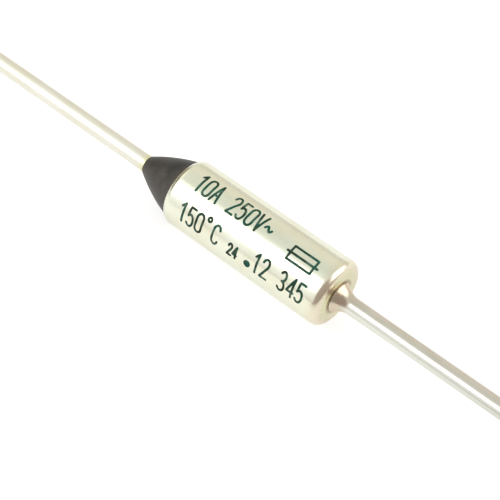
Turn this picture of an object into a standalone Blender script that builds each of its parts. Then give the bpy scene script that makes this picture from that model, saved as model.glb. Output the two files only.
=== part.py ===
"""A one-shot thermal fuse with a meltable pellet and axial leads, lying along the X axis.

The isolated lead and its sealing resin are at -X. The closed end of the metal case, with the
case lead riveted into it, is at +X. The origin is on the axis, half way along the case, and so
half way between the cut ends of the leads. All pieces are round about the X axis, apart from
the slots of the star contact and the coils of the two springs.
"""

import math

import bmesh
import bpy
from mathutils import Matrix

MM = 0.001

# Case: a drawn cup, closed at +X, whose open lip is curled in over the bushing
CASE_DIAMETER = 4.0 * MM
CASE_WALL = 0.25 * MM
END_WALL = 0.4 * MM
END_CORNER_RADIUS = 0.45 * MM
END_INSIDE_RADIUS = 0.1 * MM
LIP_INSIDE_RADIUS = 0.3 * MM
LIP_TURN = math.radians(53)

# Leads: solid wire, of the same length outside each end of the case
LEAD_DIAMETER = 1.0 * MM
LEAD_LENGTH = 27.0 * MM
LEAD_END_CHAMFER = 0.05 * MM
FLARE_RIM = 0.4 * MM
FLARE_FOOT = 0.06 * MM
FLARE_LENGTH = 1.0 * MM
RIVET_HEAD_RIM = 0.45 * MM
RIVET_HEAD_THICKNESS = 0.35 * MM
CONTACT_HEAD_RIM = 0.25 * MM
CONTACT_HEAD_THICKNESS = 0.4 * MM
HEAD_CHAMFER = 0.06 * MM
COLLAR_RIM = 0.18 * MM
COLLAR_LENGTH = 0.3 * MM

# Pellet, and the two discs on either side of the compression spring
PELLET_LENGTH = 2.8 * MM
PELLET_CHAMFER = 0.15 * MM
DISC_THICKNESS = 0.2 * MM
DISC_CHAMFER = 0.04 * MM
DISC_WALL_GAP = 0.12 * MM

# Compression spring, with closed end turns
COMPRESSION_WIRE = 0.35 * MM
COMPRESSION_LENGTH = 2.4 * MM
COMPRESSION_ACTIVE_TURNS = 2.0
COMPRESSION_WALL_GAP = 0.3 * MM

# Star contact: a slotted cup of thin sheet, its fingers bent back along the case wall
STAR_SHEET = 0.12 * MM
STAR_REACH = 0.8 * MM
STAR_FINGERS = 12
STAR_SLOT_WIDTH = 0.22 * MM

# Ceramic bushing: a stepped tube, its nose towards the star contact
NOSE_WALL = 0.33 * MM
NOSE_LENGTH = 1.55 * MM
BUSHING_LENGTH = 2.28 * MM
BUSHING_EDGE = 0.08 * MM
BUSHING_CHAMFER = 0.22 * MM

# Trip spring: a cone round the nose, its small end on the star contact
TRIP_WIRE = 0.2 * MM
TRIP_ACTIVE_TURNS = 3.0
TRIP_SPREAD = 0.5  # how much of the shoulder's width the cone opens over

# Sealing resin: a slightly bulging cone, from the lip to the lead
RESIN_LENGTH = 2.8 * MM
RESIN_TIP_WALL = 0.06 * MM
RESIN_BULGE = 0.12 * MM

# Clearances: between faces that touch, round a fixed wire, round what slides, between coils
SEAT = 0.02 * MM
FIT = 0.02 * MM
SLIDE = 0.03 * MM
COIL_GAP = 0.05 * MM
END_TURNS = 1.0

# How finely round shapes are divided
SEGMENTS = 40
ARC_STEPS = 4
TAPER_STEPS = 5
COIL_STEPS = 16
MERGE = 1e-7

# Radii that follow from these sizes
case_radius = CASE_DIAMETER / 2
bore_radius = case_radius - CASE_WALL
lead_radius = LEAD_DIAMETER / 2
lead_hole_radius = lead_radius + FIT
flare_radius = lead_radius + FLARE_RIM
rivet_head_radius = lead_radius + RIVET_HEAD_RIM
contact_head_radius = lead_radius + CONTACT_HEAD_RIM
collar_radius = lead_radius + COLLAR_RIM
pellet_radius = bore_radius - SLIDE
disc_radius = bore_radius - DISC_WALL_GAP
bushing_radius = bore_radius - SLIDE
nose_radius = lead_hole_radius + NOSE_WALL
compression_radius = bore_radius - COMPRESSION_WALL_GAP - COMPRESSION_WIRE / 2
trip_small_radius = max(nose_radius, contact_head_radius) + COIL_GAP + TRIP_WIRE / 2
trip_room = bushing_radius - TRIP_WIRE / 2 - trip_small_radius
trip_large_radius = trip_small_radius + TRIP_SPREAD * trip_room
star_flat_radius = trip_small_radius + TRIP_WIRE / 2 + COIL_GAP
lip_outside_radius = LIP_INSIDE_RADIUS + CASE_WALL
lip_centre_radius = case_radius - lip_outside_radius
lip_depth = lip_outside_radius * math.sin(LIP_TURN)

# The case is as long as the stack of pieces inside it needs
disc_room = SEAT + DISC_THICKNESS
stack_length = (
    SEAT + RIVET_HEAD_THICKNESS
    + SEAT + PELLET_LENGTH
    + disc_room
    + SEAT + COMPRESSION_LENGTH
    + disc_room
    + SEAT + STAR_SHEET
    + SEAT + CONTACT_HEAD_THICKNESS
    + SEAT + NOSE_LENGTH + BUSHING_LENGTH
)
case_length = END_WALL + stack_length + lip_depth - LIP_INSIDE_RADIUS

# Places on the axis, from the closed end to the open end. A back is a piece's -X face.
closed_end = case_length / 2
open_end = -case_length / 2
end_inner_face = closed_end - END_WALL
rivet_head_back = end_inner_face - SEAT - RIVET_HEAD_THICKNESS
pellet_back = rivet_head_back - SEAT - PELLET_LENGTH
pellet_disc_back = pellet_back - disc_room
compression_back = pellet_disc_back - SEAT - COMPRESSION_LENGTH
contact_disc_back = compression_back - disc_room
star_back = contact_disc_back - SEAT - STAR_SHEET
contact_head_back = star_back - SEAT - CONTACT_HEAD_THICKNESS
nose_face = contact_head_back - SEAT
shoulder = nose_face - NOSE_LENGTH
bushing_back = shoulder - BUSHING_LENGTH
resin_face = bushing_back - SEAT
resin_tip = open_end - RESIN_LENGTH
lip_centre = open_end + lip_depth
lip_angle = math.pi / 2 + LIP_TURN


def polar(centre, radius, angle):
    """The point (x, r) at an angle, counted from +X towards +r, round a centre (x, r)."""
    return (centre[0] + radius * math.cos(angle), centre[1] + radius * math.sin(angle))


def arc(centre, radius, start, end):
    """Evenly spaced points on a circle's arc between two angles."""
    return [
        polar(centre, radius, start + (end - start) * step / ARC_STEPS)
        for step in range(ARC_STEPS + 1)
    ]


def material(name, colour, roughness, metallic):
    finish = bpy.data.materials.new(name)
    finish.use_nodes = True
    finish.diffuse_color = (*colour, 1.0)
    shader = finish.node_tree.nodes["Principled BSDF"]
    shader.inputs["Base Color"].default_value = (*colour, 1.0)
    shader.inputs["Roughness"].default_value = roughness
    shader.inputs["Metallic"].default_value = metallic
    return finish


def new_collection(name):
    collection = bpy.data.collections.new(name)
    bpy.context.scene.collection.children.link(collection)
    return collection


def add_part(name, data, finish):
    piece = bpy.data.objects.new(name, data)
    data.materials.append(finish)
    parts.objects.link(piece)
    return piece


def turn_about_x(piece):
    """Turns the piece's profile one full turn about the X axis."""
    screw = piece.modifiers.new("full turn", "SCREW")
    screw.axis = "X"
    screw.angle = 2 * math.pi
    screw.steps = SEGMENTS
    screw.render_steps = SEGMENTS
    screw.use_merge_vertices = True
    screw.merge_threshold = MERGE


def even_normals(piece):
    """Keeps flat faces looking flat beside the smooth round ones."""
    piece.modifiers.new("even normals", "WEIGHTED_NORMAL")


def turned(name, profile, finish):
    """A solid turned about the X axis from a profile of (x, r) points.

    The profile runs along the outer side from +X to -X. It starts and ends on the axis, or
    else it closes on itself round a bore.
    """
    edges = [(i, i + 1) for i in range(len(profile) - 1)]
    has_bore = profile[0][1] > 0
    if has_bore:
        edges.append((len(profile) - 1, 0))
    mesh = bpy.data.meshes.new(name)
    mesh.from_pydata([(x, 0, r) for x, r in profile], edges, [])
    piece = add_part(name, mesh, finish)
    turn_about_x(piece)
    even_normals(piece)
    return piece


def round_disc(name, back, thickness, radius, chamfer, finish):
    """A solid disc or cylinder with both edges chamfered, its -X face at back."""
    front = back + thickness
    profile = [
        (front, 0),
        (front, radius - chamfer),
        (front - chamfer, radius),
        (back + chamfer, radius),
        (back, radius - chamfer),
        (back, 0),
    ]
    return turned(name, profile, finish)


def coil(name, wire, front, back, front_radius, back_radius, active_turns, finish):
    """A spring between two flat faces at front (+X) and back, with closed end turns.

    The wire's centre follows a helix whose radius changes evenly from one end to the other.
    """
    first = front - wire / 2
    last = back + wire / 2
    end_pitch = wire + COIL_GAP
    turns = active_turns + 2 * END_TURNS
    active_pitch = (first - last - 2 * END_TURNS * end_pitch) / active_turns
    count = round(turns * COIL_STEPS)
    curve = bpy.data.curves.new(name, "CURVE")
    curve.dimensions = "3D"
    curve.bevel_depth = wire / 2
    curve.bevel_resolution = 2
    curve.use_fill_caps = True
    spline = curve.splines.new("POLY")
    spline.points.add(count)
    for index, point in enumerate(spline.points):
        turn = turns * index / count
        active = min(max(turn - END_TURNS, 0), active_turns)
        x = first - end_pitch * (turn - active) - active_pitch * active
        radius = front_radius + (back_radius - front_radius) * turn / turns
        angle = 2 * math.pi * turn
        point.co = (x, radius * math.sin(angle), radius * math.cos(angle), 1)
    return add_part(name, curve, finish)


def make_case():
    end_corner = (closed_end - END_CORNER_RADIUS, case_radius - END_CORNER_RADIUS)
    end_inside = (end_inner_face - END_INSIDE_RADIUS, bore_radius - END_INSIDE_RADIUS)
    lip = (lip_centre, lip_centre_radius)
    profile = [(closed_end, lead_hole_radius)]
    profile += arc(end_corner, END_CORNER_RADIUS, 0, math.pi / 2)
    profile += arc(lip, lip_outside_radius, math.pi / 2, lip_angle)
    profile += arc(lip, LIP_INSIDE_RADIUS, lip_angle, math.pi / 2)
    profile += arc(end_inside, END_INSIDE_RADIUS, math.pi / 2, 0)
    profile.append((end_inner_face, lead_hole_radius))
    turned("case", profile, material("case_silver_plate", (0.84, 0.81, 0.71), 0.28, 1.0))


def make_case_lead():
    """The wire, its flared foot on the case's end, and its riveted head inside."""
    foot = closed_end + SEAT
    wire_end = closed_end + LEAD_LENGTH
    head_front = end_inner_face - SEAT
    profile = [
        (wire_end, 0),
        (wire_end, lead_radius - LEAD_END_CHAMFER),
        (wire_end - LEAD_END_CHAMFER, lead_radius),
    ]
    for step in range(TAPER_STEPS + 1):
        share = step / TAPER_STEPS
        x = foot + FLARE_LENGTH - (FLARE_LENGTH - FLARE_FOOT) * share
        profile.append((x, lead_radius + FLARE_RIM * share**2))
    profile += [
        (foot, flare_radius),
        (foot, lead_radius),
        (head_front, lead_radius),
        (head_front, rivet_head_radius),
        (rivet_head_back + HEAD_CHAMFER, rivet_head_radius),
        (rivet_head_back, rivet_head_radius - HEAD_CHAMFER),
        (rivet_head_back, 0),
    ]
    turned("case_lead", profile, material("case_lead_plate", (0.83, 0.80, 0.72), 0.25, 1.0))


def make_isolated_lead():
    """The wire, with a contact head before the bushing and a swaged collar behind it."""
    wire_end = open_end - LEAD_LENGTH
    head_front = contact_head_back + CONTACT_HEAD_THICKNESS
    collar_back = resin_face - COLLAR_LENGTH
    profile = [
        (head_front, 0),
        (head_front, contact_head_radius - HEAD_CHAMFER),
        (head_front - HEAD_CHAMFER, contact_head_radius),
        (contact_head_back, contact_head_radius),
        (contact_head_back, lead_radius),
        (resin_face, lead_radius),
        (resin_face, collar_radius),
        (collar_back, collar_radius),
        (collar_back, lead_radius),
        (wire_end + LEAD_END_CHAMFER, lead_radius),
        (wire_end, lead_radius - LEAD_END_CHAMFER),
        (wire_end, 0),
    ]
    finish = material("isolated_lead_plate", (0.86, 0.84, 0.77), 0.25, 1.0)
    turned("isolated_lead", profile, finish)


def make_pellet_and_discs():
    pellet_finish = material("pellet_compound", (0.86, 0.84, 0.74), 0.7, 0.0)
    round_disc("thermal_pellet", pellet_back, PELLET_LENGTH, pellet_radius, PELLET_CHAMFER,
               pellet_finish)
    pellet_disc_finish = material("pellet_disc_steel", (0.62, 0.61, 0.58), 0.35, 1.0)
    round_disc("pellet_disc", pellet_disc_back, DISC_THICKNESS, disc_radius, DISC_CHAMFER,
               pellet_disc_finish)
    contact_disc_finish = material("contact_disc_steel", (0.66, 0.65, 0.62), 0.35, 1.0)
    round_disc("contact_disc", contact_disc_back, DISC_THICKNESS, disc_radius, DISC_CHAMFER,
               contact_disc_finish)


def make_springs():
    compression_finish = material("compression_spring_steel", (0.55, 0.54, 0.52), 0.3, 1.0)
    coil("compression_spring", COMPRESSION_WIRE, pellet_disc_back - SEAT, compression_back,
         compression_radius, compression_radius, COMPRESSION_ACTIVE_TURNS, compression_finish)
    trip_finish = material("trip_spring_steel", (0.60, 0.59, 0.56), 0.3, 1.0)
    coil("trip_spring", TRIP_WIRE, star_back - SEAT, shoulder + SEAT,
         trip_small_radius, trip_large_radius, TRIP_ACTIVE_TURNS, trip_finish)


def star_slot_cutter():
    """One box for each slot between two fingers, from the cup's flat out past its rim."""
    slot_length = bore_radius - star_flat_radius + CASE_WALL
    slot_depth = 2 * (STAR_REACH + STAR_SHEET)
    slot_middle = star_flat_radius + slot_length / 2
    cutters = bmesh.new()
    for finger in range(STAR_FINGERS):
        around = Matrix.Rotation(2 * math.pi * finger / STAR_FINGERS, 4, "X")
        place = Matrix.Translation((star_back, 0, slot_middle))
        size = Matrix.Diagonal((slot_depth, STAR_SLOT_WIDTH, slot_length, 1))
        bmesh.ops.create_cube(cutters, size=1, matrix=around @ place @ size)
    mesh = bpy.data.meshes.new("star_slots")
    cutters.to_mesh(mesh)
    cutters.free()
    cutter = bpy.data.objects.new("star_slots", mesh)
    cutter.hide_render = True
    cutter.display_type = "WIRE"
    helpers.objects.link(cutter)
    return cutter


def make_star_contact():
    """A cup of sheet: a flat middle, and a rim that curves back along the case's bore."""
    sheet_middle = star_back + STAR_SHEET / 2
    rim_radius = bore_radius - SLIDE - STAR_SHEET / 2
    profile = [(sheet_middle, 0)]
    for step in range(ARC_STEPS + 1):
        angle = math.pi / 2 * step / ARC_STEPS
        x = sheet_middle - STAR_REACH * (1 - math.cos(angle))
        profile.append((x, star_flat_radius + (rim_radius - star_flat_radius) * math.sin(angle)))
    mesh = bpy.data.meshes.new("star_contact")
    edges = [(i, i + 1) for i in range(len(profile) - 1)]
    mesh.from_pydata([(x, 0, r) for x, r in profile], edges, [])
    finish = material("star_contact_silver", (0.80, 0.78, 0.73), 0.25, 1.0)
    star = add_part("star_contact", mesh, finish)
    turn_about_x(star)
    sheet = star.modifiers.new("sheet", "SOLIDIFY")
    sheet.thickness = STAR_SHEET
    sheet.offset = 0
    sheet.use_even_offset = True
    slots = star.modifiers.new("slots", "BOOLEAN")
    slots.operation = "DIFFERENCE"
    slots.solver = "EXACT"
    slots.object = star_slot_cutter()


def make_bushing():
    profile = [
        (nose_face, lead_hole_radius),
        (nose_face, nose_radius - BUSHING_EDGE),
        (nose_face - BUSHING_EDGE, nose_radius),
        (shoulder, nose_radius),
        (shoulder, bushing_radius - BUSHING_EDGE),
        (shoulder - BUSHING_EDGE, bushing_radius),
        (bushing_back + BUSHING_CHAMFER, bushing_radius),
        (bushing_back, bushing_radius - BUSHING_CHAMFER),
        (bushing_back, lead_hole_radius),
    ]
    turned("ceramic_bushing", profile, material("bushing_ceramic", (0.88, 0.86, 0.81), 0.5, 0.0))


def make_sealing_resin():
    """A cone on the lip's cut edge and the bushing's back, hollowed for the lead and collar."""
    lip = (lip_centre, lip_centre_radius)
    edge_start = polar(lip, SEAT, lip_angle + math.pi / 2)
    edge_depth = (resin_face - edge_start[0]) / math.cos(lip_angle)
    inner_rim = polar(edge_start, edge_depth, lip_angle)
    outer_rim = polar(edge_start, lip_outside_radius, lip_angle)
    tip_radius = lead_radius + RESIN_TIP_WALL
    pocket_radius = collar_radius + FIT
    pocket_back = resin_face - COLLAR_LENGTH - SEAT
    profile = [(resin_face, pocket_radius), inner_rim]
    for step in range(TAPER_STEPS + 1):
        share = step / TAPER_STEPS
        x = outer_rim[0] + (resin_tip - outer_rim[0]) * share
        straight = outer_rim[1] + (tip_radius - outer_rim[1]) * share
        profile.append((x, straight + RESIN_BULGE * 4 * share * (1 - share)))
    profile += [
        (resin_tip, lead_hole_radius),
        (pocket_back, lead_hole_radius),
        (pocket_back, pocket_radius),
    ]
    turned("sealing_resin", profile, material("resin_black", (0.06, 0.06, 0.055), 0.4, 0.0))


for leftover in list(bpy.data.objects):
    bpy.data.objects.remove(leftover, do_unlink=True)
parts = new_collection("thermal_fuse")
helpers = new_collection("cutters")

make_case()
make_case_lead()
make_isolated_lead()
make_pellet_and_discs()
make_springs()
make_star_contact()
make_bushing()
make_sealing_resin()
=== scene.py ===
import math

import bpy
import numpy as np
from mathutils import Matrix, Vector


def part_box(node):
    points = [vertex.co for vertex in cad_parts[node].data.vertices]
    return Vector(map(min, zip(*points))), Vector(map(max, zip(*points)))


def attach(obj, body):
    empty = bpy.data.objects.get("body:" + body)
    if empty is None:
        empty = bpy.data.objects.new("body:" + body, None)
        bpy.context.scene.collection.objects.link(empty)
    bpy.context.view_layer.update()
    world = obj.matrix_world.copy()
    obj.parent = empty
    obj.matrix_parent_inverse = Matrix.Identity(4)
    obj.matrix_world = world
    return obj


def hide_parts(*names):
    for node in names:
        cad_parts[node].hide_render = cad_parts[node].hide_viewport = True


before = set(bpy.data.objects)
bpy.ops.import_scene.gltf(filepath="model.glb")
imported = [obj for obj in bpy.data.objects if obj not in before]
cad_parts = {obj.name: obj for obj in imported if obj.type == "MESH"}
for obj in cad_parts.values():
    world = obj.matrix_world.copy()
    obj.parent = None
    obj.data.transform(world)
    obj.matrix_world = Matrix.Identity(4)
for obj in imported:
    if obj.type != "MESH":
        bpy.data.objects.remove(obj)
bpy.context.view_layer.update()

MM = 0.001

# Case: a round cup drawn from thin brass sheet and silver plated, closed at +X. Its open lip is
# curled in over the bushing, and the riveting of the lead coins two shallow rings in its end.
# Its length and its radius are the frame's.
CASE_WALL = 0.25 * MM
END_WALL = 0.4 * MM
END_CORNER_RADIUS = 0.45 * MM
END_INSIDE_RADIUS = 0.1 * MM
END_FALL = 0.03 * MM  # how far the end face falls back from its hole to its corner
COIN_RADII = (1.0 * MM, 1.28 * MM)
COIN_WIDTH = 0.045 * MM
COIN_DEPTH = 0.016 * MM
LIP_INSIDE_RADIUS = 0.3 * MM
LIP_TURN = math.radians(53)
LIP_EDGE_RADIUS = 0.04 * MM
WIRE_RADIUS = 0.5 * MM
WIRE_FIT = 0.02 * MM
ROUND_STEPS = 192
SIDE_STEPS = 28
FACE_STEPS = 48
CORNER_STEPS = 12
EDGE_STEPS = 4
SHARP_EDGE = math.radians(40)
SILVER_PALE = (0.93, 0.94, 0.79)
SILVER_TARNISHED = (0.88, 0.86, 0.67)
BRASS_ROSE = (0.86, 0.765, 0.6)
BRASS_OLIVE = (0.79, 0.765, 0.52)
ROSE_RADII = (1.4 * MM, 1.75 * MM)  # the end face is more olive, and its corner rosier
ROSE_LEAN = 0.15
BRASS_DEPTH = 0.8 * MM  # how far from the end the plating is thin enough to show the brass
BRASS_MOTTLE = (1.3, 1.3, 1.3)
BRASS_SPAN = (0.42, 0.6)
# painted shade: a brown ring in the crevice round the lead's foot, over these radii
CREVICE_SHADE_BROWN = (0.46, 0.39, 0.25)
CREVICE_SHADE_RADII = (0.97 * MM, 1.13 * MM)
LIP_SHADE_OLIVE = (0.42, 0.37, 0.24)  # painted shade and reflection: a dark olive band on the inner side of the lip's curl
LIP_SHADE_DEPTHS = (0.14 * MM, 0.36 * MM)
LIP_SHADE_RISE = (-1.7 * MM, -0.2 * MM)  # along Y it comes in slowly and stops short
LIP_SHADE_FALL = (0.15 * MM, 0.55 * MM)
TARNISH_CLOUDS = (0.5, 0.9, 0.9)  # clouds, waves and marks to the millimetre of X, Y and Z
TARNISH_SPAN = (0.38, 0.72)
PLATING_WAVES = (0.25, 0.6, 0.6)
DRAWN_MARKS = (0.12, 9.0, 9.0)
MARK_DEPTH = 0.0006 * MM
CASE_WAVE_DEPTH = 0.006 * MM
CASE_ROUGHNESS = (0.2, 0.3)

case_low, case_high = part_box("case")
case_radius = case_high.z
closed_end = case_high.x
open_end = case_low.x
bore_radius = case_radius - CASE_WALL
end_inner_face = closed_end - END_WALL
wire_hole_radius = WIRE_RADIUS + WIRE_FIT
lip_outside_radius = LIP_INSIDE_RADIUS + CASE_WALL
lip_centre = (
    open_end + lip_outside_radius * math.sin(LIP_TURN),
    case_radius - lip_outside_radius,
)
lip_angle = math.pi / 2 + LIP_TURN


def arc(centre, radius, start, end, steps=CORNER_STEPS):
    """Points (x, r) at even angles round a centre, each angle counted from +X towards +r."""
    angle = np.linspace(start, end, steps + 1)
    return np.stack(
        [centre[0] + radius * np.cos(angle), centre[1] + radius * np.sin(angle)], axis=-1
    )


def line(start, end, steps):
    """Points (x, r) at even steps from one point to another."""
    return np.linspace(start, end, steps + 1)


def polar(centre, radius, angle):
    """The one point (x, r) at an angle round a centre."""
    return (centre[0] + radius * math.cos(angle), centre[1] + radius * math.sin(angle))


def add_piece(name, points, faces, finish):
    """A smooth piece of the object from points and faces, with its sharp edges kept."""
    mesh = bpy.data.meshes.new(name)
    mesh.from_pydata(points.tolist(), [], faces)
    mesh.shade_smooth()
    mesh.set_sharp_from_angle(angle=SHARP_EDGE)
    mesh.materials.append(finish)
    piece = bpy.data.objects.new(name, mesh)
    bpy.context.scene.collection.objects.link(piece)
    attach(piece, "root")
    return piece


def turned(name, outline, finish, uneven=None):
    """A solid turned about X: an outline point (x, r) at turn t lies at (x, r sin t, r cos t).

    The outline runs along the outer side from +X to -X. It closes on itself round a bore, or
    else it starts and ends on the axis, where its ring is a single point. The radius may be
    changed by uneven, a function of x, r and the turn.
    """
    has_bore = outline[0, 1] > 0
    rings = outline if has_bore else outline[1:-1]
    turn = np.linspace(0, 2 * math.pi, ROUND_STEPS, endpoint=False)
    x = np.repeat(rings[:, :1], ROUND_STEPS, axis=1)
    r = np.repeat(rings[:, 1:], ROUND_STEPS, axis=1)
    if uneven:
        r = r + uneven(x, r, turn)
    points = np.stack([x, r * np.sin(turn), r * np.cos(turn)], axis=-1).reshape(-1, 3)
    here = np.arange(len(points)).reshape(len(rings), ROUND_STEPS)
    beside = np.roll(here, -1, axis=1)
    quads = np.stack(
        [here, beside, np.roll(beside, -1, axis=0), np.roll(here, -1, axis=0)], axis=-1
    )
    if has_bore:
        return add_piece(name, points, quads.reshape(-1, 4).tolist(), finish)
    front, back = len(points), len(points) + 1
    poles = [(outline[0, 0], 0, 0), (outline[-1, 0], 0, 0)]
    front_fan = np.stack([np.full(ROUND_STEPS, front), beside[0], here[0]], axis=-1)
    back_fan = np.stack([here[-1], beside[-1], np.full(ROUND_STEPS, back)], axis=-1)
    faces = quads[:-1].reshape(-1, 4).tolist() + front_fan.tolist() + back_fan.tolist()
    return add_piece(name, np.concatenate([points, poles]), faces, finish)


def add_node(tree, kind, **values):
    """A new node with its inputs set by name, an underscore standing for a space."""
    node = tree.nodes.new(kind)
    for name, value in values.items():
        node.inputs[name.replace("_", " ").title()].default_value = value
    return node


def new_finish(name, roughness, metallic):
    """A material whose even values are set on its shader, with that shader."""
    finish = bpy.data.materials.new(name)
    finish.use_nodes = True
    shader = finish.node_tree.nodes["Principled BSDF"]
    shader.inputs["Roughness"].default_value = roughness
    shader.inputs["Metallic"].default_value = metallic
    return finish, shader


def place_on(finish):
    """Where a point of the surface lies, in the object's own coordinates."""
    return add_node(finish.node_tree, "ShaderNodeTexCoord").outputs["Object"]


def along(finish, axis):
    """How far a point of the surface lies along one of the object's own axes, X, Y or Z."""
    parts = add_node(finish.node_tree, "ShaderNodeSeparateXYZ")
    finish.node_tree.links.new(place_on(finish), parts.inputs[0])
    return parts.outputs[axis]


def noise(finish, per_mm, detail=4.0):
    """Noise on the object's own coordinates, with so many features to the millimetre."""
    tree = finish.node_tree
    stretch = add_node(tree, "ShaderNodeMapping", Scale=[count / MM for count in per_mm])
    cloud = add_node(tree, "ShaderNodeTexNoise", Scale=1.0, Detail=detail)
    tree.links.new(place_on(finish), stretch.inputs["Vector"])
    tree.links.new(stretch.outputs["Vector"], cloud.inputs["Vector"])
    return cloud.outputs[0]


def blend_colours(finish, amount, first, second, low, high):
    """A colour that goes from first to second as amount goes from low to high."""
    ramp = add_node(finish.node_tree, "ShaderNodeValToRGB")
    for stop, place, colour in zip(ramp.color_ramp.elements, (low, high), (first, second)):
        stop.position = place
        stop.color = (*colour, 1.0)
    finish.node_tree.links.new(amount, ramp.inputs["Fac"])
    return ramp.outputs["Color"]


def spread(finish, amount, low, high, start=0.3, end=0.7):
    """An amount from start to end, such as the middle of a noise, spread over low to high."""
    reach = add_node(
        finish.node_tree, "ShaderNodeMapRange",
        From_Min=start, From_Max=end, To_Min=low, To_Max=high,
    )
    finish.node_tree.links.new(amount, reach.inputs["Value"])
    return reach.outputs["Result"]


def mix_colours(finish, amount, first, second):
    """The first colour where amount is 0 and the second where it is 1, each one linked or plain."""
    mix = finish.node_tree.nodes.new("ShaderNodeMixRGB")
    for place, value in zip(("Fac", "Color1", "Color2"), (amount, first, second)):
        if isinstance(value, tuple):
            mix.inputs[place].default_value = (*value, 1.0)
        else:
            finish.node_tree.links.new(value, mix.inputs[place])
    return mix.outputs["Color"]


def raise_bumps(finish, shader, height, depth, below=None):
    """Bumps of that real depth, added to those below."""
    bump = add_node(finish.node_tree, "ShaderNodeBump", Strength=1.0, Distance=depth)
    finish.node_tree.links.new(height, bump.inputs["Height"])
    if below:
        finish.node_tree.links.new(below, bump.inputs["Normal"])
    finish.node_tree.links.new(bump.outputs["Normal"], shader.inputs["Normal"])
    return bump.outputs["Normal"]


def combine(finish, how, first, second):
    """Two amounts made into one: ADD, MULTIPLY or MAXIMUM."""
    both = add_node(finish.node_tree, "ShaderNodeMath")
    both.operation = how
    finish.node_tree.links.new(first, both.inputs[0])
    finish.node_tree.links.new(second, both.inputs[1])
    return both.outputs[0]


def radius_on(finish):
    """How far a point of the surface lies from the X axis: the length of its Y and Z alone."""
    tree = finish.node_tree
    across = add_node(tree, "ShaderNodeVectorMath")
    across.operation = "MULTIPLY"
    across.inputs[1].default_value = (0.0, 1.0, 1.0)
    radius = add_node(tree, "ShaderNodeVectorMath")
    radius.operation = "LENGTH"
    tree.links.new(place_on(finish), across.inputs[0])
    tree.links.new(across.outputs["Vector"], radius.inputs[0])
    return radius.outputs["Value"]


def case_stains_and_painted_shade(finish, tint):
    """Brass showing through towards the closed end, painted shade as a brown ring in the crevice
    round the lead's foot, and painted shade as a dark olive band on the lip's curl. Each is mixed
    in by how far along the case, how far from its axis or how far to its side a point lies."""
    radius = radius_on(finish)
    near_end = spread(finish, along(finish, "X"), 0.0, 1.0, closed_end - BRASS_DEPTH, closed_end)
    shade_round_foot = spread(finish, radius, 1.0, 0.0, *CREVICE_SHADE_RADII)
    on_corner = spread(finish, radius, ROSE_LEAN, -ROSE_LEAN, *ROSE_RADII)
    mottle = combine(finish, "ADD", noise(finish, BRASS_MOTTLE), on_corner)
    brass = blend_colours(finish, mottle, BRASS_ROSE, BRASS_OLIVE, *BRASS_SPAN)
    brass_and_crevice_shade = mix_colours(finish, shade_round_foot, brass, CREVICE_SHADE_BROWN)
    silver = mix_colours(finish, near_end, tint, brass_and_crevice_shade)
    lip_start, lip_stop = (open_end + depth for depth in LIP_SHADE_DEPTHS)
    on_lip = spread(finish, along(finish, "X"), 1.0, 0.0, lip_start, lip_stop)
    on_side = combine(
        finish, "MULTIPLY",
        spread(finish, along(finish, "Y"), 0.0, 1.0, *LIP_SHADE_RISE),
        spread(finish, along(finish, "Y"), 1.0, 0.0, *LIP_SHADE_FALL),
    )
    # painted shade: the olive band on the lip's curl
    lip_shade = combine(finish, "MULTIPLY", on_lip, on_side)
    return mix_colours(finish, lip_shade, silver, LIP_SHADE_OLIVE)


def plated_finish(name, pale, dark, roughness, marks, mark_depth, wave_depth, stains_and_shade=None):
    """Plated metal: a cloudy tint, fine drawn marks along X, and a faint long waviness."""
    finish, shader = new_finish(name, roughness[0], 1.0)
    link = finish.node_tree.links.new
    tint = blend_colours(finish, noise(finish, TARNISH_CLOUDS), pale, dark, *TARNISH_SPAN)
    if stains_and_shade:
        tint = stains_and_shade(finish, tint)
    drawn = noise(finish, marks, 6.0)
    link(tint, shader.inputs["Base Color"])
    link(spread(finish, drawn, *roughness), shader.inputs["Roughness"])
    waves = raise_bumps(finish, shader, noise(finish, PLATING_WAVES, 1.0), wave_depth)
    raise_bumps(finish, shader, drawn, mark_depth, waves)
    return finish


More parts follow.
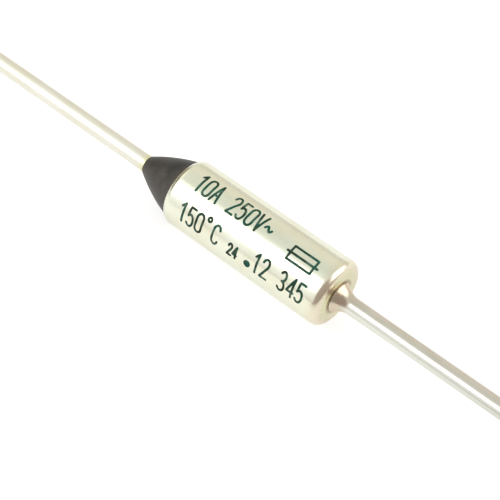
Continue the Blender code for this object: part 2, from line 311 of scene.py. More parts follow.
def case_outline():
    """The cup's section, from its hole's outer edge, round the lip, to the hole's inner edge.

    The end face falls back with the square of the share of the way out, and two bell curves
    of the radius are taken off it as the coined rings.
    """
    corner = (closed_end - END_FALL - END_CORNER_RADIUS, case_radius - END_CORNER_RADIUS)
    inside = (end_inner_face - END_INSIDE_RADIUS, bore_radius - END_INSIDE_RADIUS)
    face_r = np.linspace(wire_hole_radius, corner[1], FACE_STEPS, endpoint=False)
    share = (face_r - wire_hole_radius) / (corner[1] - wire_hole_radius)
    coined = COIN_DEPTH * sum(
        np.exp(-(((face_r - radius) / COIN_WIDTH) ** 2)) for radius in COIN_RADII
    )
    face = np.stack([closed_end - END_FALL * share**2 - coined, face_r], axis=-1)
    edge_outer = polar(lip_centre, lip_outside_radius - LIP_EDGE_RADIUS, lip_angle)
    edge_inner = polar(lip_centre, LIP_INSIDE_RADIUS + LIP_EDGE_RADIUS, lip_angle)
    edge_turn = lip_angle + math.pi / 2
    back_in = (LIP_EDGE_RADIUS * math.sin(lip_angle), -LIP_EDGE_RADIUS * math.cos(lip_angle))
    edge_outer = (edge_outer[0] + back_in[0], edge_outer[1] + back_in[1])
    edge_inner = (edge_inner[0] + back_in[0], edge_inner[1] + back_in[1])
    edge_start = lip_angle - LIP_EDGE_RADIUS / lip_outside_radius
    return np.concatenate([
        face,
        arc(corner, END_CORNER_RADIUS, 0, math.pi / 2),
        line((corner[0], case_radius), (lip_centre[0], case_radius), SIDE_STEPS)[1:-1],
        arc(lip_centre, lip_outside_radius, math.pi / 2, edge_start),
        arc(edge_outer, LIP_EDGE_RADIUS, lip_angle, edge_turn, EDGE_STEPS)[1:],
        arc(edge_inner, LIP_EDGE_RADIUS, edge_turn, edge_turn + math.pi / 2, EDGE_STEPS),
        arc(lip_centre, LIP_INSIDE_RADIUS, edge_start, math.pi / 2)[1:],
        arc(inside, END_INSIDE_RADIUS, math.pi / 2, 0, EDGE_STEPS),
        [(end_inner_face, wire_hole_radius)],
    ])


case_finish = plated_finish(
    "silver_plate", SILVER_PALE, SILVER_TARNISHED, CASE_ROUGHNESS,
    DRAWN_MARKS, MARK_DEPTH, CASE_WAVE_DEPTH, case_stains_and_painted_shade,
)
case_shell = turned("case_shell", case_outline(), case_finish)
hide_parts("case")

# Case lead: plated copper wire, upset into a flared foot on the case's end and riveted over
# inside it. The far end is cut square, with its edge just broken.
FLARE_RIM = 0.4 * MM
FLARE_FOOT = 0.06 * MM
FLARE_LENGTH = 1.0 * MM
FLARE_STEPS = 24
FOOT_GAP = 0.004 * MM  # upset against the end face, where the frame leaves a clearance
FOOT_EDGE_RADIUS = 0.02 * MM
RIVET_HEAD_RIM = 0.45 * MM
HEAD_CHAMFER = 0.06 * MM
CUT_EDGE = 0.05 * MM
CUT_STEPS = 5
WIRE_STEPS = 24
SEAT = 0.02 * MM
CASE_LEAD_PALE = (0.78, 0.73, 0.65)
CASE_LEAD_DULL = (0.68, 0.62, 0.52)
CASE_LEAD_PAINTED_LIGHT = (0.83, 0.84, 0.76)  # painted light: below its top the wire is painted paler, and only its top keeps the tarnish
PAINTED_LIGHT_BELOW = (0.22 * MM, 0.38 * MM)
UPSET_CREAM_SHADED = (0.69, 0.63, 0.5)  # the duller plating where the wire is upset, darkened further with painted shade
COPPER_SHOWING = (0.77, 0.62, 0.47)
COPPER_LENGTH = 1.0 * MM  # how far out from the case's end the upset wire's plating is cracked
COPPER_MOTTLE = (2.6, 2.6, 2.6)
COPPER_SPAN = (0.42, 0.62)
WIRE_MARKS = (0.3, 14.0, 14.0)
WIRE_WAVE_DEPTH = 0.004 * MM
CASE_LEAD_ROUGHNESS = (0.18, 0.28)

case_lead_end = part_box("case_lead")[1].x
rivet_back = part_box("case_lead")[0].x


def case_lead_outline():
    """The wire's section, from the centre of its cut end to the centre of its rivet head.

    The flare widens with the square of the share of the way to its foot.
    """
    foot = closed_end + FOOT_GAP
    foot_radius = WIRE_RADIUS + FLARE_RIM
    share = np.linspace(0, 1, FLARE_STEPS + 1)[:, None]
    taper_x = foot + FLARE_LENGTH - (FLARE_LENGTH - FLARE_FOOT) * share
    taper = np.concatenate([taper_x, WIRE_RADIUS + FLARE_RIM * share**2], axis=1)
    cut = (case_lead_end - CUT_EDGE, WIRE_RADIUS - CUT_EDGE)
    return np.concatenate([
        [(case_lead_end, 0), (case_lead_end, WIRE_RADIUS / 2)],
        arc(cut, CUT_EDGE, 0, math.pi / 2, CUT_STEPS),
        line((cut[0], WIRE_RADIUS), taper[0], WIRE_STEPS)[1:-1],
        taper,
        arc(
            (foot + FOOT_EDGE_RADIUS, foot_radius - FOOT_EDGE_RADIUS),
            FOOT_EDGE_RADIUS, math.pi / 2, math.pi, EDGE_STEPS,
        ),
        [
            (foot, WIRE_RADIUS),
            (end_inner_face - SEAT, WIRE_RADIUS),
            (end_inner_face - SEAT, WIRE_RADIUS + RIVET_HEAD_RIM),
            (rivet_back + HEAD_CHAMFER, WIRE_RADIUS + RIVET_HEAD_RIM),
            (rivet_back, WIRE_RADIUS + RIVET_HEAD_RIM - HEAD_CHAMFER),
            (rivet_back, 0),
        ],
    ])


def case_lead_stains_and_painted_light(finish, tint):
    """Painted light as a paler plating below the wire's top, and on the flare a duller plating with
    painted shade, and patches of bare copper where the upsetting cracked it. They are mixed in
    by height and by the way out along the wire."""
    painted_light_below = spread(finish, along(finish, "Z"), 1.0, 0.0, *PAINTED_LIGHT_BELOW)
    wire = mix_colours(finish, painted_light_below, tint, CASE_LEAD_PAINTED_LIGHT)
    on_flare = spread(
        finish, along(finish, "X"), 1.0, 0.0,
        closed_end + COPPER_LENGTH / 2, closed_end + COPPER_LENGTH,
    )
    patches = spread(finish, noise(finish, COPPER_MOTTLE), 0.0, 1.0, *COPPER_SPAN)
    return mix_colours(
        finish, on_flare, wire, mix_colours(finish, patches, UPSET_CREAM_SHADED, COPPER_SHOWING)
    )


case_lead_finish = plated_finish(
    "case_lead_plate", CASE_LEAD_PALE, CASE_LEAD_DULL, CASE_LEAD_ROUGHNESS,
    WIRE_MARKS, MARK_DEPTH, WIRE_WAVE_DEPTH, case_lead_stains_and_painted_light,
)
case_wire = turned("case_wire", case_lead_outline(), case_lead_finish)
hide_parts("case_lead")

# Pellet: a meltable organic compound pressed into a cylinder. It keeps its solid, with a dry
# mottled finish.
PELLET_PALE = (0.88, 0.86, 0.76)
PELLET_DARK = (0.72, 0.68, 0.56)
PELLET_ROUGHNESS = 0.75
PELLET_GRAIN = (12.0, 12.0, 12.0)
PELLET_GRAIN_DEPTH = 0.004 * MM
GRAIN_SPAN = (0.35, 0.75)


def grainy_finish(name, pale, dark, roughness, grain, depth):
    """A dry solid: one noise gives both its mottling and its fine bumps."""
    finish, shader = new_finish(name, roughness, 0.0)
    mottle = noise(finish, grain)
    tint = blend_colours(finish, mottle, pale, dark, *GRAIN_SPAN)
    finish.node_tree.links.new(tint, shader.inputs["Base Color"])
    raise_bumps(finish, shader, mottle, depth)
    return finish


def refinish(node, finish):
    """Gives a solid of the frame its finish, and leaves its mesh alone."""
    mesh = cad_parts[node].data
    mesh.materials.clear()
    mesh.materials.append(finish)


pellet_finish = grainy_finish(
    "pressed_pellet", PELLET_PALE, PELLET_DARK, PELLET_ROUGHNESS,
    PELLET_GRAIN, PELLET_GRAIN_DEPTH,
)
refinish("thermal_pellet", pellet_finish)

# Discs and springs: two stamped steel discs, and two coils of drawn spring wire between them
# and round the bushing's nose. All four keep their solids.
DISC_PALE = (0.66, 0.65, 0.62)
DISC_DARK = (0.5, 0.49, 0.46)
DISC_ROUGHNESS = (0.28, 0.42)
DISC_MARKS = (6.0, 3.0, 3.0)
DISC_WAVE_DEPTH = 0.002 * MM
SPRING_PALE = (0.58, 0.57, 0.55)
SPRING_DARK = (0.4, 0.39, 0.37)
SPRING_ROUGHNESS = (0.25, 0.38)
SPRING_MARKS = (5.0, 5.0, 5.0)
SPRING_WAVE_DEPTH = 0.001 * MM
STEEL_MARK_DEPTH = 0.001 * MM

disc_finish = plated_finish(
    "stamped_steel", DISC_PALE, DISC_DARK, DISC_ROUGHNESS,
    DISC_MARKS, STEEL_MARK_DEPTH, DISC_WAVE_DEPTH,
)
spring_finish = plated_finish(
    "drawn_spring_steel", SPRING_PALE, SPRING_DARK, SPRING_ROUGHNESS,
    SPRING_MARKS, STEEL_MARK_DEPTH, SPRING_WAVE_DEPTH,
)
for disc in ("pellet_disc", "contact_disc"):
    refinish(disc, disc_finish)
for spring in ("compression_spring", "trip_spring"):
    refinish(spring, spring_finish)

# Star contact: a slotted cup of thin silver-faced copper sheet, whose fingers slide along the
# case. It keeps its solid.
STAR_PALE = (0.86, 0.84, 0.79)
STAR_DARK = (0.7, 0.66, 0.58)
STAR_ROUGHNESS = (0.2, 0.34)
STAR_MARKS = (4.0, 4.0, 4.0)
STAR_WAVE_DEPTH = 0.001 * MM

star_finish = plated_finish(
    "contact_silver", STAR_PALE, STAR_DARK, STAR_ROUGHNESS,
    STAR_MARKS, MARK_DEPTH, STAR_WAVE_DEPTH,
)
refinish("star_contact", star_finish)

# Bushing: a stepped tube of fired ceramic that insulates the lead from the case. It keeps its
# solid.
CERAMIC_PALE = (0.9, 0.88, 0.83)
CERAMIC_DARK = (0.8, 0.77, 0.7)
CERAMIC_ROUGHNESS = 0.5
CERAMIC_GRAIN = (20.0, 20.0, 20.0)
CERAMIC_GRAIN_DEPTH = 0.002 * MM

ceramic_finish = grainy_finish(
    "fired_ceramic", CERAMIC_PALE, CERAMIC_DARK, CERAMIC_ROUGHNESS,
    CERAMIC_GRAIN, CERAMIC_GRAIN_DEPTH,
)
refinish("ceramic_bushing", ceramic_finish)

# Isolated lead: the same plated wire, with a contact head in front of the bushing and a collar
# swaged behind it.
CONTACT_HEAD_RIM = 0.25 * MM
CONTACT_HEAD_THICKNESS = 0.4 * MM
COLLAR_RIM = 0.18 * MM
COLLAR_LENGTH = 0.3 * MM
ISOLATED_LEAD_PALE = (0.92, 0.9, 0.81)
ISOLATED_LEAD_DULL = (0.87, 0.84, 0.71)
ISOLATED_LEAD_ROUGHNESS = (0.38, 0.48)
CREEP_YELLOW = (0.86, 0.82, 0.5)
CREEP_ON_WIRE = 0.45 * MM  # how far the resin crept along the wire

head_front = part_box("isolated_lead")[1].x
isolated_lead_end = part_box("isolated_lead")[0].x
resin_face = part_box("ceramic_bushing")[0].x - SEAT
contact_head_radius = WIRE_RADIUS + CONTACT_HEAD_RIM
collar_radius = WIRE_RADIUS + COLLAR_RIM
resin_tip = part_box("sealing_resin")[0].x
contact_head_back = head_front - CONTACT_HEAD_THICKNESS
collar_back = resin_face - COLLAR_LENGTH


def isolated_lead_outline():
    """The wire's section, from the centre of its contact head to the centre of its cut end."""
    cut = (isolated_lead_end + CUT_EDGE, WIRE_RADIUS - CUT_EDGE)
    return np.concatenate([
        [
            (head_front, 0),
            (head_front, contact_head_radius - HEAD_CHAMFER),
            (head_front - HEAD_CHAMFER, contact_head_radius),
            (contact_head_back, contact_head_radius),
            (contact_head_back, WIRE_RADIUS),
            (resin_face, WIRE_RADIUS),
            (resin_face, collar_radius),
            (collar_back, collar_radius),
        ],
        line((collar_back, WIRE_RADIUS), (cut[0], WIRE_RADIUS), WIRE_STEPS)[:-1],
        arc(cut, CUT_EDGE, math.pi / 2, math.pi, CUT_STEPS),
        [(isolated_lead_end, WIRE_RADIUS / 2), (isolated_lead_end, 0)],
    ])


def resin_on_wire(finish, tint):
    """A yellowish trace of clear resin on the wire, which thins out away from the cone."""
    near_tip = spread(
        finish, along(finish, "X"), 0.0, 1.0, resin_tip - CREEP_ON_WIRE, resin_tip
    )
    return mix_colours(finish, near_tip, tint, CREEP_YELLOW)


isolated_lead_finish = plated_finish(
    "isolated_lead_plate", ISOLATED_LEAD_PALE, ISOLATED_LEAD_DULL, ISOLATED_LEAD_ROUGHNESS,
    WIRE_MARKS, MARK_DEPTH, WIRE_WAVE_DEPTH, resin_on_wire,
)
isolated_wire = turned(
    "isolated_wire", isolated_lead_outline(), isolated_lead_finish
)
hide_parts("isolated_lead")

# Sealing resin: black epoxy poured round the lead into the curled lip, which sets as a slightly
# bulging cone with a satin skin. It bonds to the lip's edge, the bushing and the wire.
RESIN_TIP_WALL = 0.06 * MM
RESIN_BULGE = 0.12 * MM
RESIN_STEPS = 40
RESIN_UNEVEN = 0.012 * MM
TIP_EDGE_RADIUS = 0.02 * MM
TIP_STEPS = 5
TIP_START = math.radians(110)
RESIN_BLACK = (0.008, 0.009, 0.008)
RESIN_GREY = (0.075, 0.064, 0.055)
RESIN_SPAN = (0.3, 0.8)
RESIN_SIDE_LIGHT = (0.16, -0.12)  # painted light: the skin is greyer towards -Y and blacker the other way
RESIN_SIDE_LIGHT_FROM = (-0.9 * MM, 0.4 * MM)
RESIN_MOTTLE = (1.1, 1.1, 1.1)
RESIN_GRAIN = (14.0, 14.0, 14.0)
RESIN_ROUGHNESS = (0.36, 0.5)
RESIN_EVEN_ROUGHNESS = 0.42  # for a viewer that shows no noise
RESIN_WAVE_DEPTH = 0.02 * MM
RESIN_GRAIN_DEPTH = 0.0015 * MM


def resin_uneven(x, r, turn):
    """A slow wander of the skin: waves round the cone and along it, none at its two ends."""
    share = np.clip((open_end - x) / (open_end - resin_tip), 0, 1)
    skin = np.where(r > collar_radius, 1.0, 0.0) * np.sin(math.pi * share)
    waves = np.sin(2 * turn + 1.0) + 0.6 * np.sin(3 * turn + 4 * share) + 0.4 * np.sin(9 * share)
    return RESIN_UNEVEN * skin * waves / 2


def resin_outline():
    """The cone's section round its bore, from the bushing's face out to the lip and the tip.

    The skin is a straight line from the lip to the tip with a parabola added for its bulge.
    """
    edge_start = polar(lip_centre, SEAT, lip_angle + math.pi / 2)
    edge_depth = (resin_face - edge_start[0]) / math.cos(lip_angle)
    inner_rim = polar(edge_start, edge_depth, lip_angle)
    outer_rim = polar(edge_start, lip_outside_radius, lip_angle)
    tip_radius = WIRE_RADIUS + RESIN_TIP_WALL
    pocket_radius = collar_radius + WIRE_FIT
    pocket_back = collar_back - SEAT
    share = np.linspace(0, 1, RESIN_STEPS + 1)[:-1]
    skin_x = outer_rim[0] + (resin_tip + TIP_EDGE_RADIUS - outer_rim[0]) * share
    straight = outer_rim[1] + (tip_radius - outer_rim[1]) * share
    skin = np.stack([skin_x, straight + RESIN_BULGE * 4 * share * (1 - share)], axis=-1)
    tip_edge = (resin_tip + TIP_EDGE_RADIUS, tip_radius - TIP_EDGE_RADIUS)
    return np.concatenate([
        [(resin_face, pocket_radius), inner_rim],
        skin,
        arc(tip_edge, TIP_EDGE_RADIUS, TIP_START, math.pi, TIP_STEPS),
        [
            (resin_tip, wire_hole_radius),
            (pocket_back, wire_hole_radius),
            (pocket_back, pocket_radius),
        ],
    ])


resin_finish, resin_shader = new_finish("black_resin", RESIN_EVEN_ROUGHNESS, 0.0)
resin_mottle = noise(resin_finish, RESIN_MOTTLE)
resin_grain = noise(resin_finish, RESIN_GRAIN, 5.0)
resin_side_light = spread(resin_finish, along(resin_finish, "Y"), *RESIN_SIDE_LIGHT, *RESIN_SIDE_LIGHT_FROM)
resin_tone = combine(resin_finish, "ADD", resin_mottle, resin_side_light)
resin_finish.node_tree.links.new(
    blend_colours(resin_finish, resin_tone, RESIN_BLACK, RESIN_GREY, *RESIN_SPAN),
    resin_shader.inputs["Base Color"],
)
resin_finish.node_tree.links.new(
    spread(resin_finish, resin_mottle, *RESIN_ROUGHNESS), resin_shader.inputs["Roughness"]
)
resin_waves = raise_bumps(resin_finish, resin_shader, resin_mottle, RESIN_WAVE_DEPTH)
raise_bumps(resin_finish, resin_shader, resin_grain, RESIN_GRAIN_DEPTH, resin_waves)
resin_cone = turned("resin_cone", resin_outline(), resin_finish, resin_uneven)
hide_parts("sealing_resin")

# Rating print: two rows of dark green ink, pad printed on the finished case. Only plain numbers
# and units are printed, with the plain symbol for a fuse.
LETTER_HEIGHT = 1.14 * MM
LETTER_WIDTH = 0.42 * MM
LETTER_PITCH = 0.6 * MM
SMALL_SHARE = 0.6  # the size of the small pair of digits beside the large ones
BOW_STEPS = 14
STROKE_WIDTH = 0.14 * MM
INK_THICKNESS = 0.006 * MM
INK_SUNK = 0.002 * MM
INK_GRID = 0.022 * MM
PRINT_TURN = math.radians(-29.3)  # the way the print faces, from +Z towards +Y
UPPER_ROW = 0.31 * MM  # the feet of the letters, round the case from where the print faces
LOWER_ROW = -1.69 * MM
ROW_START = -4.26 * MM
SMALL_START = -0.68 * MM
DIGITS_START = 1.02 * MM
SYMBOL_MIDDLE = (3.37 * MM, 0.5 * MM)
SYMBOL_SIZE = (1.6 * MM, 0.84 * MM)
DOT_MIDDLE = (0.7 * MM, -1.5 * MM)
DOT_RADII = (0.15 * MM, 0.05 * MM)
INK_OLIVE = (0.014, 0.034, 0.016)
INK_GREEN = (0.009, 0.098, 0.068)
INK_MOTTLE = (1.1, 1.1, 1.1)
INK_SPAN = (0.4, 0.62)
INK_THIN = (0.15, 0.24, 0.18)  # where the silver shows through the ink
THIN_PATCHES = (2.3, 2.3, 2.3)
THIN_SPAN = (0.5, 0.74)
THINNEST = 0.85
STROKE_WANDER = 0.07  # the share by which a stroke's width wanders
WANDER_ALONG = 9100.0  # radians of wander to the metre
WANDER_ROUND = 11300.0
WANDER_ASLANT = 4700.0
INK_ROUGHNESS = 0.5
INK_SHINE = 0.2


def bow(centre_x, centre_y, radius_x, radius_y, start, end):
    """Points on part of an ellipse between two angles in degrees, counted from +x to +y."""
    angle = np.radians(np.linspace(start, end, BOW_STEPS + 1))
    return np.stack(
        [centre_x + radius_x * np.cos(angle), centre_y + radius_y * np.sin(angle)], axis=-1
    )


def strokes_of(letter):
    """The strokes of a letter one unit wide and one high, each a path of straight lines and
    parts of ellipses."""
    ring = np.concatenate([bow(0.5, 0.76, 0.5, 0.24, 0, 180), bow(0.5, 0.24, 0.5, 0.24, 180, 360)])
    shapes = {
        "0": [np.concatenate([ring, ring[:1]])],
        "1": [[(0.2, 0.8), (0.62, 1.0), (0.62, 0.0)]],
        "2": [np.concatenate([bow(0.48, 0.75, 0.46, 0.25, 170, -25), [(0.0, 0.0), (1.0, 0.0)]])],
        "3": [np.concatenate([
            bow(0.46, 0.76, 0.42, 0.24, 150, -90), bow(0.46, 0.26, 0.5, 0.26, 90, -150)[1:],
        ])],
        "4": [[(0.78, 0.0), (0.78, 1.0), (0.0, 0.28), (1.0, 0.28)]],
        "5": [np.concatenate([[(0.92, 1.0), (0.14, 1.0), (0.08, 0.54)],
                              bow(0.44, 0.32, 0.52, 0.32, 125, -145)])],
        "A": [[(0.0, 0.0), (0.5, 1.0), (1.0, 0.0)], [(0.19, 0.36), (0.81, 0.36)]],
        "V": [[(0.0, 1.0), (0.5, 0.0), (1.0, 1.0)]],
        "C": [np.concatenate([
            bow(0.5, 0.74, 0.48, 0.26, 15, 180), bow(0.5, 0.26, 0.48, 0.26, 180, 345),
        ])],
        "o": [bow(0.4, 1.0, 0.26, 0.11, 0, 360)],
        "~": [np.stack([np.linspace(0, 1.1, 21),
                        0.45 + 0.12 * np.sin(np.linspace(0, 2 * math.pi, 21))], axis=-1)],
        " ": [],
    }
    return [np.array(path) for path in shapes[letter]]


def set_row(text, start, foot, share=1.0):
    """The strokes of a row of letters, each one pitch further on, as points of (x, distance
    round the case)."""
    size = np.array([LETTER_WIDTH, LETTER_HEIGHT]) * share
    return [
        path * size + (start + LETTER_PITCH * share * place, foot)
        for place, letter in enumerate(text)
        for path in strokes_of(letter)
    ]


def fuse_symbol():
    """A box with a line through it, whose two ends stand out by a quarter of half the box."""
    half = np.array(SYMBOL_SIZE) / 2
    box = np.array([(-1, -1), (1, -1), (1, 1), (-1, 1), (-1, -1)]) * half + SYMBOL_MIDDLE
    through = np.array([(-1.25, 0), (1.25, 0)]) * half + SYMBOL_MIDDLE
    return [box, through]


def nearest_foot(path, points):
    """Each point's nearest point on a path: its foot on each step, held between the ends."""
    start = path[:-1]
    step = np.diff(path, axis=0)
    share = ((points[:, None] - start) * step).sum(axis=-1) / (step**2).sum(axis=-1)
    foot = start + np.clip(share, 0, 1)[..., None] * step
    gap = np.linalg.norm(points[:, None] - foot, axis=-1)
    best = gap.argmin(axis=1)
    every = np.arange(len(points))
    return gap[every, best], foot[every, best]


def ink_film(strokes):
    """The film's points and faces: a fine grid round the case, kept where it is inked.

    A cell is kept where its corners lie on average within half a stroke's width of a stroke.
    A corner on the film's rim is pulled to exactly that far from the stroke. The width wanders
    with the product of a sine wave along X and one aslant to it. The grid is then wrapped on
    the case and closed with an underside and a rim.
    """
    every = np.concatenate(strokes)
    low = every.min(axis=0) - STROKE_WIDTH
    count = np.ceil((every.max(axis=0) + STROKE_WIDTH - low) / INK_GRID).astype(int) + 1
    across, round_it = np.meshgrid(np.arange(count[0]), np.arange(count[1]), indexing="ij")
    points = low + np.stack([across, round_it], axis=-1).reshape(-1, 2) * INK_GRID
    gap = np.full(len(points), 1.0)
    foot = np.zeros_like(points)
    for path in strokes:
        inside = (points > path.min(axis=0) - STROKE_WIDTH) & (
            points < path.max(axis=0) + STROKE_WIDTH
        )
        near = np.flatnonzero(inside.all(axis=1))
        path_gap, path_foot = nearest_foot(path, points[near])
        closer = path_gap < gap[near]
        gap[near[closer]] = path_gap[closer]
        foot[near[closer]] = path_foot[closer]
    along_x, round_case = points.T
    aslant = round_case * WANDER_ROUND + along_x * WANDER_ASLANT
    wander = np.sin(along_x * WANDER_ALONG) * np.sin(aslant)
    half = STROKE_WIDTH / 2 * (1 + STROKE_WANDER * wander)
    index = np.arange(len(points)).reshape(count)
    corners = [index[:-1, :-1], index[1:, :-1], index[1:, 1:], index[:-1, 1:]]
    cells = np.stack(corners, axis=-1).reshape(-1, 4)
    cells = cells[(gap - half)[cells].mean(axis=1) < 0]
    uses = np.bincount(cells.ravel(), minlength=len(points))
    rim = (uses > 0) & (uses < 4)
    points[rim] = foot[rim] + (points - foot)[rim] * (half / gap)[rim, None]
    kept, cells = np.unique(cells, return_inverse=True)
    cells = cells.reshape(-1, 4)
    flat = points[kept]
    turn = PRINT_TURN + flat[:, 1] / case_radius
    layers = [
        np.stack([flat[:, 0], radius * np.sin(turn), radius * np.cos(turn)], axis=-1)
        for radius in (case_radius + INK_THICKNESS, case_radius - INK_SUNK)
    ]
    ends = np.stack([cells, np.roll(cells, -1, axis=1)], axis=-1).reshape(-1, 2)
    code = ends[:, 0] * len(flat) + ends[:, 1]
    back = ends[:, 1] * len(flat) + ends[:, 0]
    rim_ends = ends[~np.isin(code, back)]
    skirt = np.stack([
        rim_ends[:, 0], rim_ends[:, 0] + len(flat), rim_ends[:, 1] + len(flat), rim_ends[:, 1],
    ], axis=-1)
    faces = np.concatenate([cells, cells[:, ::-1] + len(flat), skirt])
    return np.concatenate(layers), faces.tolist()


print_strokes = set_row("10A 250V~", ROW_START, UPPER_ROW)
print_strokes += set_row("150oC", ROW_START, LOWER_ROW)
print_strokes += set_row("24", SMALL_START, LOWER_ROW, SMALL_SHARE)
print_strokes += set_row("12 345", DIGITS_START, LOWER_ROW)
print_strokes += fuse_symbol()
print_strokes += [bow(*DOT_MIDDLE, radius, radius, 0, 360) for radius in DOT_RADII]
ink_finish, ink_shader = new_finish("green_ink", INK_ROUGHNESS, 0.0)
ink_shader.inputs["Specular IOR Level"].default_value = INK_SHINE
ink_tone = blend_colours(
    ink_finish, noise(ink_finish, INK_MOTTLE), INK_OLIVE, INK_GREEN, *INK_SPAN
)
ink_thinness = spread(
    ink_finish, noise(ink_finish, THIN_PATCHES, 5.0), 0.0, THINNEST, *THIN_SPAN
)
ink_finish.node_tree.links.new(
    mix_colours(ink_finish, ink_thinness, ink_tone, INK_THIN), ink_shader.inputs["Base Color"]
)
ink_points, ink_faces = ink_film(print_strokes)
add_piece("rating_print", ink_points, ink_faces, ink_finish)

# Studio: a pale floor that the case lies on, a surround with bright and dark sides that only the
# metal shows, a long soft lamp on the camera's side, a small one beyond the closed end, and a
# camera at the photograph's angle.
FLOOR_SIZE = 3.0
FLOOR_COLOUR = (0.6, 0.6, 0.6)
FLOOR_GLOW_SEEN = 0.62
FLOOR_GLOW_MIRRORED = 0.44
FADE_TOWARD = (0.85, -0.53, 0.0)  # painted shade: that way the floor's glow in the metal fades out
FLOOR_FADE = (8 * MM, 30 * MM)
FAR_FLOOR_SHADE = (0.3, 0.23, 0.21)  # and further out the floor is painted a dim brown shade that only the metal shows
FAR_FLOOR_FROM = (18 * MM, 29 * MM)
FLOOR_SHADE = 0.2  # the share of the glow that the case takes from the floor on its far side
SHADE_START = (0.5 * MM, 5 * MM)
SHADE_STOP = (9 * MM, 17 * MM)
SKY_HORIZON = (0.5, 0.48, 0.45)
SKY = (0.8, 0.77, 0.69)
HORIZON_RISE = (0.0, 0.3)  # rises are spans of a direction's Z, and falls of its Y or X
SKY_OVERHEAD = (0.69, 0.72, 0.68)
OVERHEAD_RISE = (0.6, 0.9)
BRIGHT_SIDE = (0.96, 0.98, 1.0)  # the sky towards -Y
BRIGHT_SIDE_FALL = (-0.85, 0.15)
BRIGHT_SIDE_LOW = (0.76, 0.76, 0.74)  # a darker line along its horizon
BRIGHT_SIDE_RISE = (0.03, 0.17)
DARK_END = (0.26, 0.22, 0.18)  # the surround towards -X
DARK_END_FALL = (-0.93, -0.75)
DARK_PATCH = (0.4, 0.35, 0.32)  # what stands behind the camera
DARK_TOWARD = (0.72, -0.6, 0.35)
DARK_EDGE = (0.6, 0.72)
BRIGHT_PATCH = (1.1, 1.09, 1.0)  # a window above the isolated lead
BRIGHT_TOWARD = (-0.74, 0.2, 0.64)
BRIGHT_EDGE = (0.95, 0.98)
LONG_LAMP = {"toward": (-0.51, -0.525, 0.684), "away": 0.45, "size": (0.36, 0.3), "radiance": 1.7}
SMALL_LAMP = {"toward": (0.68, 0.53, 0.51), "away": 0.4, "size": (0.34, 0.42), "radiance": 1.25}
CAMERA_AZIMUTH = math.radians(41.06)
CAMERA_ELEVATION = math.radians(53.29)
CAMERA_DISTANCE = 82.91 * MM
CAMERA_ASIDE = -0.54 * MM
CAMERA_RISE = -0.426 * MM
CAMERA_LENS = 110.0
CAMERA_SENSOR = 36.0

scene = bpy.context.scene
scene.view_settings.view_transform = "Standard"

floor_mesh = bpy.data.meshes.new("floor")
floor_corners = np.array([(-1, -1), (1, -1), (1, 1), (-1, 1)]) * FLOOR_SIZE / 2
floor_mesh.from_pydata([(x, y, -case_radius) for x, y in floor_corners], [], [(0, 1, 2, 3)])
floor = bpy.data.objects.new("floor", floor_mesh)
scene.collection.objects.link(floor)


def reach_toward(finish, vector, toward):
    """How far a place or a direction reaches the given way: its dot product with that way."""
    dot = add_node(finish.node_tree, "ShaderNodeVectorMath")
    dot.operation = "DOT_PRODUCT"
    dot.inputs[1].default_value = toward
    finish.node_tree.links.new(vector, dot.inputs[0])
    return dot.outputs["Value"]


floor_finish = bpy.data.materials.new("floor_paint")
floor_finish.use_nodes = True
floor_tree = floor_finish.node_tree
floor_tree.nodes.remove(floor_tree.nodes["Principled BSDF"])
paint = floor_tree.nodes.new("ShaderNodeBsdfDiffuse")
ray = floor_tree.nodes.new("ShaderNodeLightPath")
glow = add_node(floor_tree, "ShaderNodeEmission")
seen = spread(floor_finish, ray.outputs["Is Camera Ray"], 0.0, FLOOR_GLOW_SEEN, 0.0, 1.0)
reach_out = reach_toward(floor_finish, place_on(floor_finish), FADE_TOWARD)
far_floor_shade = spread(floor_finish, reach_out, 0.0, 1.0, *FAR_FLOOR_FROM)
far_mirrored = combine(floor_finish, "MULTIPLY", ray.outputs["Is Glossy Ray"], far_floor_shade)
floor_tree.links.new(
    mix_colours(floor_finish, far_mirrored, FLOOR_COLOUR, FAR_FLOOR_SHADE), paint.inputs["Color"]
)
near_glow = spread(floor_finish, reach_out, FLOOR_GLOW_MIRRORED, 0.0, *FLOOR_FADE)
far_side = combine(
    floor_finish, "MULTIPLY",
    spread(floor_finish, along(floor_finish, "Y"), 0.0, 1.0, *SHADE_START),
    spread(floor_finish, along(floor_finish, "Y"), 1.0, 0.0, *SHADE_STOP),
)
left_of_glow = spread(floor_finish, far_side, 1.0, 1.0 - FLOOR_SHADE, 0.0, 1.0)
shaded_glow = combine(floor_finish, "MULTIPLY", near_glow, left_of_glow)
mirrored = combine(floor_finish, "MULTIPLY", ray.outputs["Is Glossy Ray"], shaded_glow)
floor_tree.links.new(
    combine(floor_finish, "MAXIMUM", seen, mirrored), glow.inputs["Strength"]
)
floor_surface = floor_tree.nodes.new("ShaderNodeAddShader")
floor_tree.links.new(paint.outputs[0], floor_surface.inputs[0])
floor_tree.links.new(glow.outputs[0], floor_surface.inputs[1])
floor_tree.links.new(
    floor_surface.outputs[0], floor_tree.nodes["Material Output"].inputs["Surface"]
)
floor_mesh.materials.append(floor_finish)

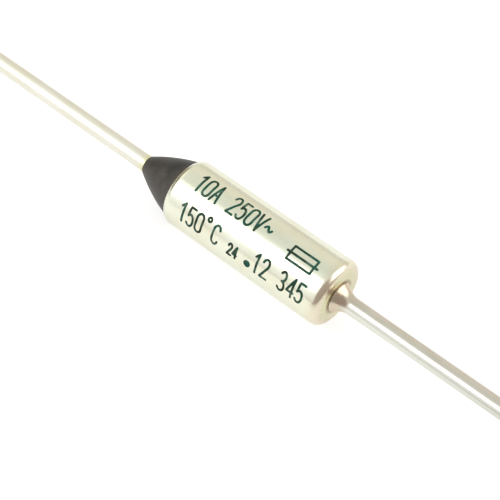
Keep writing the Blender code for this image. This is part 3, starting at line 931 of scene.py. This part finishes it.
world = bpy.data.worlds.new("surround")
world.use_nodes = True
scene.world = world
sky_tree = world.node_tree
direction = sky_tree.nodes.new("ShaderNodeTexCoord").outputs["Generated"]
toward = sky_tree.nodes.new("ShaderNodeSeparateXYZ")
sky_tree.links.new(direction, toward.inputs[0])
low_sky = blend_colours(world, toward.outputs["Z"], SKY_HORIZON, SKY, *HORIZON_RISE)
overhead = spread(world, toward.outputs["Z"], 0.0, 1.0, *OVERHEAD_RISE)
open_sky = mix_colours(world, overhead, low_sky, SKY_OVERHEAD)
bright_share = spread(world, toward.outputs["Y"], 1.0, 0.0, *BRIGHT_SIDE_FALL)
bright_side = blend_colours(
    world, toward.outputs["Z"], BRIGHT_SIDE_LOW, BRIGHT_SIDE, *BRIGHT_SIDE_RISE
)
sides = mix_colours(world, bright_share, open_sky, bright_side)
end_share = spread(world, toward.outputs["X"], 1.0, 0.0, *DARK_END_FALL)
dark_ended = mix_colours(world, end_share, sides, DARK_END)


def add_patch(surround, colour, centre, edge):
    """A round patch of sky: over the two cosines of edge, from its rim inwards, it sets in."""
    share = spread(world, reach_toward(world, direction, centre), 0.0, 1.0, *edge)
    return mix_colours(world, share, surround, colour)


patched = add_patch(dark_ended, DARK_PATCH, DARK_TOWARD, DARK_EDGE)
around = add_patch(patched, BRIGHT_PATCH, BRIGHT_TOWARD, BRIGHT_EDGE)
sky_tree.links.new(around, sky_tree.nodes["Background"].inputs["Color"])
white = add_node(sky_tree, "ShaderNodeBackground", Color=(1.0, 1.0, 1.0, 1.0), Strength=1.0)
eye = sky_tree.nodes.new("ShaderNodeLightPath")
sky_mix = sky_tree.nodes.new("ShaderNodeMixShader")
sky_tree.links.new(eye.outputs["Is Camera Ray"], sky_mix.inputs[0])
sky_tree.links.new(sky_tree.nodes["Background"].outputs[0], sky_mix.inputs[1])
sky_tree.links.new(white.outputs[0], sky_mix.inputs[2])
sky_tree.links.new(sky_mix.outputs[0], sky_tree.nodes["World Output"].inputs["Surface"])


def add_soft_lamp(name, toward, away, size, radiance):
    """A rectangular lamp that faces the origin, its long side in the plane of the X axis."""
    lamp_data = bpy.data.lights.new(name, "AREA")
    lamp_data.shape = "RECTANGLE"
    lamp_data.size, lamp_data.size_y = size
    lamp_data.energy = radiance * math.pi * size[0] * size[1]
    lamp = bpy.data.objects.new(name, lamp_data)
    back = Vector(toward).normalized()
    right = Vector((1, 0, 0)) - back * back.x
    right.normalize()
    turn = Matrix((right, back.cross(right), back)).transposed()
    lamp.matrix_world = Matrix.Translation(back * away) @ turn.to_4x4()
    lamp.visible_camera = False
    scene.collection.objects.link(lamp)


add_soft_lamp("long_lamp", **LONG_LAMP)
add_soft_lamp("small_lamp", **SMALL_LAMP)

ca, sa = math.cos(CAMERA_AZIMUTH), math.sin(CAMERA_AZIMUTH)
ce, se = math.cos(CAMERA_ELEVATION), math.sin(CAMERA_ELEVATION)
camera_right = Vector((ca, sa, 0))
camera_up = Vector((-se * sa, se * ca, ce))
camera_back = Vector((sa * ce, -ca * ce, se))
camera_data = bpy.data.cameras.new("camera")
camera_data.lens = CAMERA_LENS
camera_data.sensor_width = CAMERA_SENSOR
camera_data.clip_start = 1 * MM
camera = bpy.data.objects.new("camera", camera_data)
camera_place = (
    camera_right * CAMERA_ASIDE + camera_up * CAMERA_RISE + camera_back * CAMERA_DISTANCE
)
camera_turn = Matrix((camera_right, camera_up, camera_back)).transposed()
camera.matrix_world = Matrix.Translation(camera_place) @ camera_turn.to_4x4()
scene.collection.objects.link(camera)
scene.camera = camera
